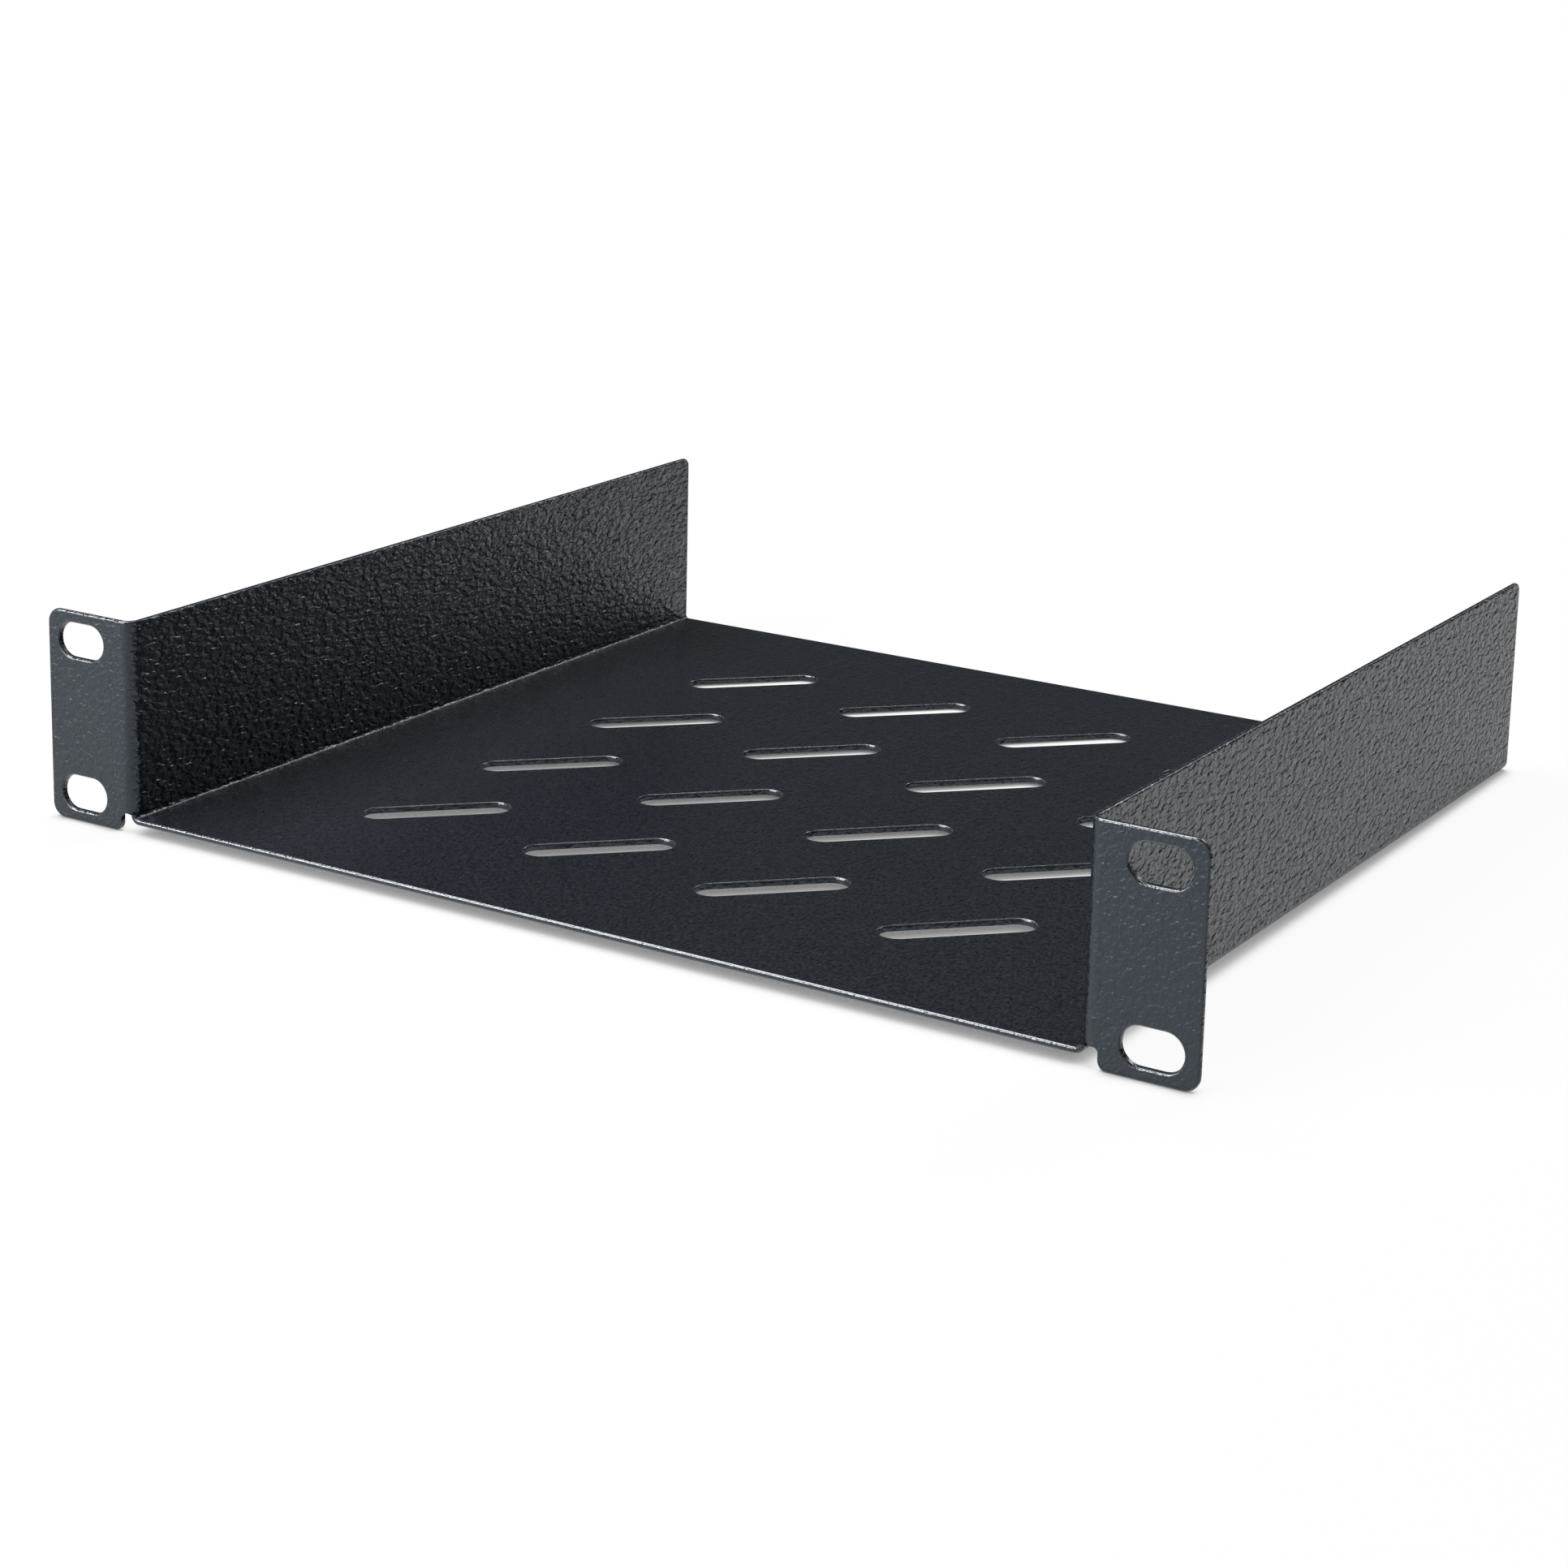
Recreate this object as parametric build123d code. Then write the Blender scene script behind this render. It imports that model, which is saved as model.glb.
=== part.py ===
from build123d import *
import os

# Rack shelf folded from one steel sheet, one unit high, for a ten-inch rack.
# Millimetres. X runs to the right, Y to the rear and Z up.
# The origin is the centre of the four rack slots, on the rear faces of the ears,
# which is the plane that seats on the rack's rails.

# Sheet and folds
sheet_thickness = 1.2
wall_fold_radius = 0.8  # inside radius where the walls rise from the tray
ear_fold_radius = 1.6  # inside radius where the ears turn out of the walls
edge_radius = 0.45  # cut edges, softened by deburring and coating

# Rack face
rack_unit_height = 44.45  # the height that one unit takes up in the rack
panel_clearance = 0.425  # left free above the ears, and as much below them
panel_width = 254.0  # over the ears
ear_width = 21.0  # from the outside of a wall to the ear's edge
ear_drop = 2.0  # how far the ears reach below the tray
ear_corner_radius = 3.0
relief_width = 2.5  # notch between the tray's fold and the foot of each ear
relief_slope_width = 0.9  # the notch's roof slopes from here, beside the wall, to the tray
relief_corner_radius = 0.9
ear_foot_radius = 2.0  # the foot's corner beside the notch

# Rack slots in the ears
rack_slot_side_inset = 8.7375  # from an ear's outer edge to the slots' centres
rack_slot_unit_inset = 6.35  # from the top or bottom of the rack unit to a slot's centre
rack_slot_length = 11.7
rack_slot_height = 7.2

# Tray and walls
body_depth = 200.0  # from the front of the ears to the rear edge
wall_corner_radius = 2.0  # side view, at the walls' rear top corners

# Vent slots in the tray
vent_slot_length = 30.0
vent_slot_width = 7.0
vent_slot_angle = 45.0
vent_slot_spacing = 40.0
vent_margin = 40.0  # the least from an edge of the tray to the slots' centres

# Limits for picking out edges
smooth_angle = 15.0  # degrees between faces that still count as smooth
same_place = 0.001
rounding_share = 0.42  # the most of the sheet's thickness that one edge's rounding takes

# Places that follow from the sizes
edge_rounding = min(edge_radius, rounding_share * sheet_thickness)
wall_fold_outer = wall_fold_radius + sheet_thickness
ear_fold_outer = ear_fold_radius + sheet_thickness
body_width = panel_width - 2 * ear_width
panel_height = rack_unit_height - 2 * panel_clearance
panel_top = panel_height / 2
panel_bottom = -panel_height / 2
tray_bottom = panel_bottom + ear_drop
tray_top = tray_bottom + sheet_thickness
relief_top = tray_bottom + wall_fold_outer
ear_front = -sheet_thickness
body_rear = ear_front + body_depth
wall_front = ear_front + ear_fold_outer
wall_inside = body_width / 2 - sheet_thickness
ear_foot = body_width / 2 + relief_width
rack_slot_spacing_x = panel_width - 2 * rack_slot_side_inset
rack_slot_spacing_z = rack_unit_height - 2 * rack_slot_unit_inset
vent_columns = int((body_width - 2 * vent_margin) // vent_slot_spacing) + 1
vent_rows = int((body_depth - 2 * vent_margin) // vent_slot_spacing) + 1


def fillet_corners(face, corners, radius):
    """Rounds the corners of a flat face that lie on the given points."""
    chosen = [face.vertices().sort_by_distance(Vector(*corner, 0))[0] for corner in corners]
    return fillet(chosen, radius)


def channel_section():
    """The folded tray and walls, seen from the front, as a face in X and Z."""
    outer = Rectangle(body_width, panel_top - tray_bottom, align=(Align.CENTER, Align.MIN))
    outer = Pos(0, tray_bottom) * outer
    outer = fillet(outer.vertices().group_by(Axis.Y)[0], wall_fold_outer)
    inner = Rectangle(2 * wall_inside, panel_top - tray_top, align=(Align.CENTER, Align.MIN))
    inner = Pos(0, tray_top) * inner
    inner = fillet(inner.vertices().group_by(Axis.Y)[0], wall_fold_radius)
    return outer - inner


def side_outline():
    """The body seen from the side: low at the front, where the ears' folds take over."""
    corners = [
        (ear_front, tray_bottom),
        (ear_front, relief_top),
        (wall_front, relief_top),
        (wall_front, panel_top),
        (body_rear, panel_top),
        (body_rear, tray_bottom),
    ]
    outline = make_face(Polyline(*corners, close=True))
    return fillet_corners(outline, [(body_rear, panel_top)], wall_corner_radius)


def make_body():
    """The tray with its two walls."""
    folded = extrude(Plane.XZ.offset(-ear_front) * channel_section(), amount=-body_depth)
    from_side = extrude(Plane.YZ * side_outline(), amount=body_width, both=True)
    return folded & from_side


def ear_section():
    """The right ear and its fold, seen from above."""
    centre_x = body_width / 2 + ear_fold_radius
    centre_y = ear_fold_radius
    ring = Circle(ear_fold_outer) - Circle(ear_fold_radius)
    quarter = ring & Rectangle(ear_fold_outer, ear_fold_outer, align=Align.MAX)
    flange = Rectangle(panel_width / 2 - centre_x, sheet_thickness, align=Align.MIN)
    return Pos(centre_x, centre_y) * quarter + Pos(centre_x, ear_front) * flange


def ear_outline():
    """The right ear seen from the front, before the notch is cut."""
    outer_corners = [(panel_width / 2, panel_bottom), (panel_width / 2, panel_top)]
    corners = [(wall_inside, panel_bottom), *outer_corners, (wall_inside, panel_top)]
    outline = make_face(Polyline(*corners, close=True))
    return fillet_corners(outline, outer_corners, ear_corner_radius)


def make_ear():
    """The right ear with its fold."""
    folded = extrude(Plane.XY.offset(panel_bottom) * ear_section(), amount=panel_height)
    from_front = extrude(Plane.XZ * ear_outline(), amount=body_depth, both=True)
    return folded & from_front


def notch():
    """Cutter for the notch between the tray's fold and the foot of the right ear."""
    below_ear = panel_bottom - sheet_thickness
    past_foot = ear_foot + 2 * ear_foot_radius
    slope = [(wall_inside, tray_top), (body_width / 2 + relief_slope_width, relief_top)]
    notch_corner = (ear_foot, relief_top)
    foot_corner = (ear_foot, panel_bottom)
    below = [(past_foot, panel_bottom), (past_foot, below_ear), (wall_inside, below_ear)]
    outline = make_face(Polyline(*slope, notch_corner, foot_corner, *below, close=True))
    outline = fillet_corners(outline, [notch_corner], relief_corner_radius)
    outline = fillet_corners(outline, [foot_corner], ear_foot_radius)
    return extrude(Plane.XZ * outline, amount=body_depth, both=True)


def rack_slots():
    """Cutters for the four slots that bolt to the rack."""
    slot = SlotOverall(rack_slot_length, rack_slot_height)
    places = GridLocations(rack_slot_spacing_x, rack_slot_spacing_z, 2, 2)
    pattern = Sketch() + [place * slot for place in places]
    return extrude(Plane.XZ * pattern, amount=2 * sheet_thickness, both=True)


def vent_slots():
    """Cutters for the slanting slots in the tray."""
    slot = SlotOverall(vent_slot_length, vent_slot_width, rotation=vent_slot_angle)
    places = GridLocations(vent_slot_spacing, vent_slot_spacing, vent_columns, vent_rows)
    pattern = Sketch() + [place * slot for place in places]
    pattern = Pos(0, ear_front + body_depth / 2) * pattern
    return extrude(Plane.XY.offset(tray_bottom) * pattern, amount=2 * sheet_thickness, both=True)


def sharp_edges(solid):
    """The edges where two faces of a solid meet at an angle."""
    faces_at = {}
    for face in solid.faces():
        for edge in face.edges():
            faces_at.setdefault(edge, []).append(face)
    sharp = ShapeList()
    for edge, faces in faces_at.items():
        middle = edge.position_at(0.5)
        first, second = [face.normal_at(middle) for face in faces]
        if first.get_angle(second) > smooth_angle:
            sharp.append(edge)
    return sharp


def is_joining_edge(edge):
    """Whether an edge lies where the body and an ear run into each other."""
    points = [edge.position_at(share) for share in (0, 0.5, 1)]
    at_wall_front = all(abs(point.Y - wall_front) < same_place for point in points)
    at_relief_top = all(abs(point.Z - relief_top) < same_place for point in points)
    return at_wall_front or at_relief_top


def soften(solid):
    """Rounds the cut edges, and leaves those that the body and the ears share."""
    cut_edges = [edge for edge in sharp_edges(solid) if not is_joining_edge(edge)]
    return fillet(cut_edges, edge_rounding)


def punch(sheet, cutters, towards_punch):
    """Cuts slots, and rounds their rims on the side where the punch goes in."""
    punched = sheet - cutters
    skins = punched.faces().filter_by(towards_punch).sort_by(SortBy.AREA)[-2:]
    entry_side = skins.sort_by(towards_punch)[-1]
    return fillet(entry_side.inner_wires().edges(), edge_rounding)


def make_shelf():
    """The whole folded sheet."""
    body = punch(soften(make_body()), vent_slots(), Axis.Z)
    ear = punch(soften(make_ear()) - notch(), rack_slots(), -Axis.Y)
    return body + ear + mirror(ear, Plane.YZ)


os.makedirs("parts", exist_ok=True)
export_step(make_shelf(), "parts/shelf.step")
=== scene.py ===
import math

import bpy
from mathutils import Matrix, Vector


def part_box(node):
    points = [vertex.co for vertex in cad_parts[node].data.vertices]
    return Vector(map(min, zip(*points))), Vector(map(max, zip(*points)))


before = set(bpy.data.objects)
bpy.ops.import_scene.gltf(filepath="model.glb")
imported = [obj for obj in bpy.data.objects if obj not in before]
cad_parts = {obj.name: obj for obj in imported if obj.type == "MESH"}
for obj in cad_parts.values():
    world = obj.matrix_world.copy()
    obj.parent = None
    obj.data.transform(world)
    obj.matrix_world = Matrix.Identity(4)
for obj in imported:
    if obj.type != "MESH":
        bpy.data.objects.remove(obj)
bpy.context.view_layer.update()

# A rack shelf of powder-coated steel sheet, photographed on a white studio sweep.
# Lengths are in metres, and millimetres are turned into them by this factor.
MM = 0.001

# Camera, fitted to the photograph's corners and edges
PHOTO_SIDE = 1932  # pixels, across and down
FOCAL_PIXELS = 4170.3
AXIS_PIXEL = (860.0, 650.0)  # where the lens axis meets the photograph
CAMERA_PLACE = Vector((339.12, -480.70, 191.38)) * MM
CAMERA_YAW = 32.99  # degrees, turned from looking along +Y towards -X
CAMERA_PITCH = -12.98
CAMERA_ROLL = 0.92
SENSOR_WIDTH = 36.0  # millimetres

# Stage
FLOOR_SIDE = 16.0
CAMERA_REACH = 2 * FLOOR_SIDE  # past the far end of the floor
FLOOR_WHITE = "#F7F7F7"
EAR_DROP = 2.0 * MM  # how far the ears' feet reach below the tray
PAINTED_SHADE_REACH = 4 * MM  # how far the painted shade spreads around where the shelf meets the floor
PAINTED_SHADE_SAMPLES = 8  # rays that find how open the paper lies
# Painted shade, not cast by the lamps: how bright the paper is painted by how open it lies,
# under the tray, in its slots, beside it and in the open
PAINTED_SHADE_TONES = [(0.0, 0.02), (0.06, 0.30), (0.45, 0.38), (0.72, 0.90), (0.92, 1.0)]
# How much of the paper's own shading shows near the shelf, and from where to where it fades
PAPER_SHARE = 0.06
PAPER_NEAR = 0.20
PAPER_FAR = 0.45
# How bright the coating sees the studio's ceiling and upper walls, and the studio's far end,
# low over the floor. The one passes into the other between two sines of the elevation.
STUDIO_GREY = 0.012
HORIZON_GREY = 0.11
HORIZON_HEIGHTS = (0.26, 0.40)

# Softboxes: name, direction from the shelf, distance, width and height, and radiance
SHELF_CENTRE = Vector((0.0, 0.1, 0.0))
SOFTBOXES = [
    ("strip_left", (-0.45, -0.04, 0.89), 1.1, (1.10, 0.60), 4.5),
    ("overhead", (-0.02, 0.30, 0.95), 1.1, (0.40, 0.40), 4.0),
    ("rear", (0.20, 0.75, 0.63), 1.3, (0.45, 0.35), 9.0),
    ("front_left", (-0.52, -0.82, 0.30), 1.4, (0.90, 0.60), 10.5),
]

# Powder coating
COAT_COLOUR = "#0A111B"
COAT_TINT = "#EAF6FF"  # its highlights are faintly blue
COAT_IOR = 1.62  # a little over polyester's, to match the highlights
COAT_ROUGHNESS = 0.34  # satin
EDGE_COLOUR = "#808284"  # the steel that shows through at the cut edges
EDGE_ROUGHNESS = 0.18
# The product of the normal's squared Y and Z, which is none on panels and folds and
# rises on the cut edges that run across the shelf
EDGE_SLANT = (0.02, 0.20)

# The orange peel's bumps, from crest to crest. They are drawn higher than they are,
# so that they show at the photograph's size.
PEEL_CELL = 1.0 * MM
PEEL_HEIGHT = 0.80 * MM
PEEL_FINE_SHARE = 0.4  # how strong the smaller bumps between them are
PEEL_WANDER = 0.5  # how far they are pulled out of round
# The powder's own grain is about 0.1 mm, too fine to show, and is drawn coarser
GRAIN_CELL = 0.50 * MM
GRAIN_HEIGHT = 0.10 * MM
GRAIN_GLOSS = 0.5  # how far the grain varies the roughness
GRAIN_MEAN = 0.5  # the middle of the noise
FINER_LAYERS = 1.0  # each pattern has one more layer, at half its size
DRAWN_OUT = (1.0, 0.5, 1.0)  # both run twice as long from front to rear
# How strongly the peel and the grain show on the walls, the ears and the tray
PEEL_SHARES = (1.0, 0.27, 0.20)
GRAIN_SHARES = (0.3, 0.5, 0.9)

# Sockets of a colour mix, which share their names with those of its other types
MIX_SHARE = 0
MIX_FIRST = 6
MIX_SECOND = 7
MIX_RESULT = 2


def linear(hex_colour):
    """The linear RGBA of an sRGB hex colour."""
    channels = [int(hex_colour[place:place + 2], 16) / 255 for place in (1, 3, 5)]
    return [c / 12.92 if c <= 0.04045 else ((c + 0.055) / 1.055) ** 2.4 for c in channels] + [1.0]


def add_node(tree, kind, inputs=None, **settings):
    """Adds a node with its settings, and links or sets its inputs, by name or by number."""
    node = tree.nodes.new(kind)
    for name, value in settings.items():
        setattr(node, name, value)
    for name, value in (inputs or {}).items():
        if isinstance(value, bpy.types.NodeSocket):
            tree.links.new(value, node.inputs[name])
        else:
            node.inputs[name].default_value = value
    return node


def new_material(name):
    """An empty node material and its node tree."""
    material = bpy.data.materials.new(name)
    material.use_nodes = True
    material.node_tree.nodes.clear()
    return material, material.node_tree


def cut_edges(tree, squared):
    """How far a place lies on a rounded cut edge, from the squares of its normal."""
    sides = add_node(tree, "ShaderNodeSeparateXYZ", {"Vector": squared})
    slant = add_node(tree, "ShaderNodeMath", {
        0: sides.outputs["Y"], 1: sides.outputs["Z"],
    }, operation="MULTIPLY")
    at_edge = add_node(tree, "ShaderNodeMapRange", {
        "Value": slant.outputs["Value"], "From Min": EDGE_SLANT[0], "From Max": EDGE_SLANT[1],
    })
    return at_edge.outputs["Result"]


def coat_colour(tree, at_edge):
    """The coat's colour, and the steel's where the coat is thin."""
    colour = add_node(tree, "ShaderNodeMix", {
        MIX_SHARE: at_edge, MIX_FIRST: linear(COAT_COLOUR), MIX_SECOND: linear(EDGE_COLOUR),
    }, data_type="RGBA")
    return colour.outputs[MIX_RESULT]


def coat_roughness(tree, at_edge, grain):
    """Satin on the panels, with a speckle of the grain, and glossier on the cut edges."""
    gloss = add_node(tree, "ShaderNodeMapRange", {
        "Value": at_edge, "To Min": COAT_ROUGHNESS, "To Max": EDGE_ROUGHNESS,
    })
    speckle = add_node(tree, "ShaderNodeMath", {0: grain, 1: GRAIN_MEAN}, operation="SUBTRACT")
    dulled = add_node(tree, "ShaderNodeMath", {
        0: speckle.outputs["Value"], 1: GRAIN_GLOSS, 2: gloss.outputs["Result"],
    }, operation="MULTIPLY_ADD")
    return dulled.outputs["Value"]


def coat_relief(tree, squared, peel, grain):
    """The peel's bumps with the grain on them, which fade towards folds and edges."""
    facing = add_node(tree, "ShaderNodeVectorMath", {0: squared, 1: squared}, operation="MULTIPLY")
    relief = None
    for pattern, shares, height in ((peel, PEEL_SHARES, PEEL_HEIGHT), (grain, GRAIN_SHARES, GRAIN_HEIGHT)):
        share = add_node(tree, "ShaderNodeVectorMath", {
            0: facing.outputs["Vector"], 1: shares,
        }, operation="DOT_PRODUCT")
        below = {"Normal": relief.outputs["Normal"]} if relief else {}
        relief = add_node(tree, "ShaderNodeBump", {
            "Height": pattern, "Strength": share.outputs["Value"], "Distance": height, **below,
        })
    return relief.outputs["Normal"]


def powder_coated_steel():
    """Polyester powder, sprayed dry on the folded sheet and baked until it melts.

    It gives a satin film, dark and faintly blue, which sets in the low bumps of orange peel,
    so that the walls look pebbled where light grazes them. The film draws back from the
    cut edges as it melts, so these are smoother and catch the light.
    """
    material, tree = new_material("powder_coated_steel")
    surface = add_node(tree, "ShaderNodeTexCoord")
    place = add_node(tree, "ShaderNodeVectorMath", {
        0: surface.outputs["Object"], 1: DRAWN_OUT,
    }, operation="MULTIPLY").outputs["Vector"]
    peel = add_node(tree, "ShaderNodeTexNoise", {
        "Vector": place, "Scale": 1 / PEEL_CELL, "Detail": FINER_LAYERS,
        "Roughness": PEEL_FINE_SHARE, "Distortion": PEEL_WANDER,
    }).outputs["Fac"]
    grain = add_node(tree, "ShaderNodeTexNoise", {
        "Vector": place, "Scale": 1 / GRAIN_CELL, "Detail": FINER_LAYERS,
    }).outputs["Fac"]
    normal = surface.outputs["Normal"]
    squared = add_node(tree, "ShaderNodeVectorMath", {
        0: normal, 1: normal,
    }, operation="MULTIPLY").outputs["Vector"]
    at_edge = cut_edges(tree, squared)
    coat = add_node(tree, "ShaderNodeBsdfPrincipled", {
        "Base Color": coat_colour(tree, at_edge), "Metallic": at_edge,
        "Roughness": coat_roughness(tree, at_edge, grain),
        "IOR": COAT_IOR, "Specular Tint": linear(COAT_TINT),
        "Normal": coat_relief(tree, squared, peel, grain),
    })
    add_node(tree, "ShaderNodeOutputMaterial", {"Surface": coat.outputs["BSDF"]})
    return material


def white_with_painted_shade(tree):
    """The white that the paper is seen as, with painted shade darkening it where the shelf comes close."""
    open_sky = add_node(tree, "ShaderNodeAmbientOcclusion", {"Distance": PAINTED_SHADE_REACH},
                        samples=PAINTED_SHADE_SAMPLES)
    white = add_node(tree, "ShaderNodeValToRGB", {"Fac": open_sky.outputs["AO"]})
    stops = white.color_ramp.elements
    while len(stops) < len(PAINTED_SHADE_TONES):
        stops.new(1.0)
    for stop, (share, tone) in zip(stops, PAINTED_SHADE_TONES):
        stop.position = share
        stop.color = (tone, tone, tone, 1)
    # painted shade: the paper glows white, dimmed by how closely the shelf hems it in, not by the lamps
    lit = add_node(tree, "ShaderNodeEmission", {"Color": white.outputs["Color"], "Strength": 1.0})
    return lit.outputs["Emission"]


def white_paper_sweep():
    """Matt paper off a roll, lit until it is white.

    It has no sheen; the eye sees the shelf's dark contact line, painted as shade, and a faint shadow.
    The camera and the coating see it white with that painted shade; other light sees plain paper.
    """
    material, tree = new_material("white_paper_sweep")
    paper = add_node(tree, "ShaderNodeBsdfDiffuse", {"Color": linear(FLOOR_WHITE)})
    place = add_node(tree, "ShaderNodeTexCoord").outputs["Object"]
    away = add_node(tree, "ShaderNodeVectorMath", {0: place}, operation="LENGTH")
    paper_share = add_node(tree, "ShaderNodeMapRange", {
        "Value": away.outputs["Value"], "From Min": PAPER_NEAR, "From Max": PAPER_FAR,
        "To Min": PAPER_SHARE, "To Max": 0.0,
    }, interpolation_type="SMOOTHSTEP")
    # the painted shade, with a small share of the paper's real shading near the shelf
    shown = add_node(tree, "ShaderNodeMixShader", {
        "Fac": paper_share.outputs["Result"], 1: white_with_painted_shade(tree), 2: paper.outputs["BSDF"],
    })
    ray = add_node(tree, "ShaderNodeLightPath")
    seen = add_node(tree, "ShaderNodeMath", {
        0: ray.outputs["Is Camera Ray"], 1: ray.outputs["Is Glossy Ray"],
    }, operation="MAXIMUM")
    surface = add_node(tree, "ShaderNodeMixShader", {
        "Fac": seen.outputs["Value"], 1: paper.outputs["BSDF"], 2: shown.outputs["Shader"],
    })
    add_node(tree, "ShaderNodeOutputMaterial", {"Surface": surface.outputs["Shader"]})
    return material


def make_floor():
    """The sweep, tilted to meet the ears' feet at the front and the tray's edge at the rear."""
    low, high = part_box("shelf")
    half = FLOOR_SIDE / 2
    corners = [(-half, -half, 0), (half, -half, 0), (half, half, 0), (-half, half, 0)]
    mesh = bpy.data.meshes.new("floor")
    mesh.from_pydata(corners, [], [(0, 1, 2, 3)])
    floor = bpy.data.objects.new("floor", mesh)
    bpy.context.scene.collection.objects.link(floor)
    slope = math.atan2(EAR_DROP, high.y)
    floor.location = (0, SHELF_CENTRE.y, low.z + SHELF_CENTRE.y * math.tan(slope))
    floor.rotation_euler = (slope, 0, 0)
    mesh.materials.append(white_paper_sweep())


def make_softbox(name, direction, distance, size, radiance):
    """An evenly lit rectangle that faces the shelf."""
    lamp = bpy.data.lights.new(name, "AREA")
    lamp.shape = "RECTANGLE"
    lamp.size, lamp.size_y = size
    lamp.energy = radiance * math.pi * size[0] * size[1]
    light = bpy.data.objects.new(name, lamp)
    bpy.context.scene.collection.objects.link(light)
    away = Vector(direction).normalized()
    light.location = SHELF_CENTRE + away * distance
    light.rotation_euler = (-away).to_track_quat("-Z", "Y").to_euler()


def make_world():
    """The studio's grey, lighter low over the floor, and the white that the camera sees there."""
    world = bpy.data.worlds.new("studio")
    world.use_nodes = True
    tree = world.node_tree
    tree.nodes.clear()
    direction = add_node(tree, "ShaderNodeTexCoord").outputs["Generated"]
    rise = add_node(tree, "ShaderNodeSeparateXYZ", {"Vector": direction})
    grey = add_node(tree, "ShaderNodeMapRange", {
        "Value": rise.outputs["Z"], "From Min": HORIZON_HEIGHTS[0], "From Max": HORIZON_HEIGHTS[1],
        "To Min": HORIZON_GREY, "To Max": STUDIO_GREY,
    })
    walls = add_node(tree, "ShaderNodeBackground", {
        "Color": (1, 1, 1, 1), "Strength": grey.outputs["Result"],
    })
    white = add_node(tree, "ShaderNodeBackground", {"Color": (1, 1, 1, 1), "Strength": 1.0})
    ray = add_node(tree, "ShaderNodeLightPath")
    seen = add_node(tree, "ShaderNodeMixShader", {
        "Fac": ray.outputs["Is Camera Ray"],
        1: walls.outputs["Background"], 2: white.outputs["Background"],
    })
    add_node(tree, "ShaderNodeOutputWorld", {"Surface": seen.outputs["Shader"]})
    bpy.context.scene.world = world


def make_camera():
    """The photograph's camera."""
    yaw = math.radians(CAMERA_YAW)
    pitch = math.radians(CAMERA_PITCH)
    level = math.cos(pitch)
    ahead = Vector((-math.sin(yaw) * level, math.cos(yaw) * level, math.sin(pitch)))
    right = ahead.cross(Vector((0, 0, 1))).normalized()
    up = right.cross(ahead)
    turn = Matrix.Rotation(math.radians(CAMERA_ROLL), 3, -ahead)
    rotation = Matrix((turn @ right, turn @ up, -ahead)).transposed()
    lens = bpy.data.cameras.new("camera")
    lens.sensor_width = SENSOR_WIDTH
    lens.lens = FOCAL_PIXELS / PHOTO_SIDE * SENSOR_WIDTH
    lens.shift_x = (PHOTO_SIDE / 2 - AXIS_PIXEL[0]) / PHOTO_SIDE
    lens.shift_y = (AXIS_PIXEL[1] - PHOTO_SIDE / 2) / PHOTO_SIDE
    lens.clip_end = CAMERA_REACH
    camera = bpy.data.objects.new("camera", lens)
    bpy.context.scene.collection.objects.link(camera)
    camera.matrix_world = Matrix.Translation(CAMERA_PLACE) @ rotation.to_4x4()
    bpy.context.scene.camera = camera


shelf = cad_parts["shelf"]
shelf.data.materials.clear()
shelf.data.materials.append(powder_coated_steel())

make_floor()
for softbox in SOFTBOXES:
    make_softbox(*softbox)
make_world()
make_camera()
bpy.context.scene.view_settings.view_transform = "Standard"
